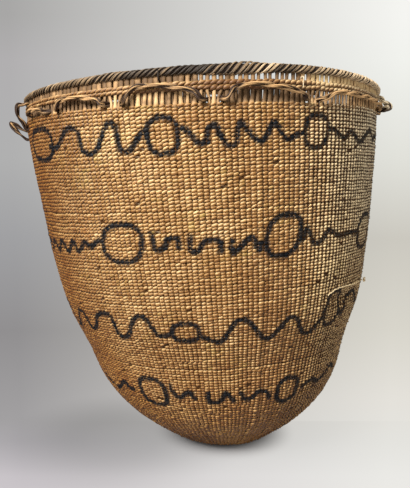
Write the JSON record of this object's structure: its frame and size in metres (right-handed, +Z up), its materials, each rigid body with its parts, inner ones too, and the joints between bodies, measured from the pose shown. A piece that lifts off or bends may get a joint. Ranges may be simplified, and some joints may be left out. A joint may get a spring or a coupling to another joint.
{
  "type": "woven basket",
  "caption": "Large twined storage basket, narrow at the foot and wide at the mouth, with an openwork collar laced with cord, a braided border and small cord ears.",
  "frame": {"origin": "centre of the small flat of the base that the basket stands on", "axes": "+Z up, -Y towards the front that the picture shows, +X to the viewer's right"},
  "size_m": [0.3918, 0.3855, 0.3833],
  "materials": {
    "wall": "close-twined split fibre, dry and matte",
    "warp": "bare split warp ends, matte",
    "weft": "twined weft strands, matte",
    "braid": "dark braided fibre, worn",
    "cord": "two-ply twisted cord, slightly polished by use",
    "thread": "loose fibre thread"
  },
  "bodies": {
    "basket": {"body_wall": "wall", "warp_stakes": "warp", "collar_weft_lower_outer": "weft", "collar_weft_lower_inner": "weft", "collar_weft_upper_outer": "weft", "collar_weft_upper_inner": "weft", "rim_braid": "braid", "lacing_cord_front": "cord", "lacing_cord_back": "cord", "mend_strand": "thread", "mend_knot": "thread", "tie_left": "thread", "tie_right": "thread"},
    "ear_left_upper": {"ear_left_upper": "cord"},
    "ear_left_lower": {"ear_left_lower": "cord"},
    "ear_right": {"ear_right": "cord"}
  },
  "joints": [
    {"name": "ear_left_upper_swing", "type": "hinge", "parent": "basket", "child": "ear_left_upper", "pos_m": [-0.19304, -0.07676, 0.35191], "axis": [0.0916, -0.1931, 0.9769], "range_deg": [-20, 20]},
    {"name": "ear_left_lower_swing", "type": "hinge", "parent": "basket", "child": "ear_left_lower", "pos_m": [-0.2038, -0.04555, 0.33635], "axis": [-0.0666, 0, 0.9978], "range_deg": [-20, 20]},
    {"name": "ear_right_swing", "type": "hinge", "parent": "basket", "child": "ear_right", "pos_m": [0.15322, -0.05021, 0.36727], "axis": [0.0219, 0, 0.9998], "range_deg": [-20, 20]}
  ]
}
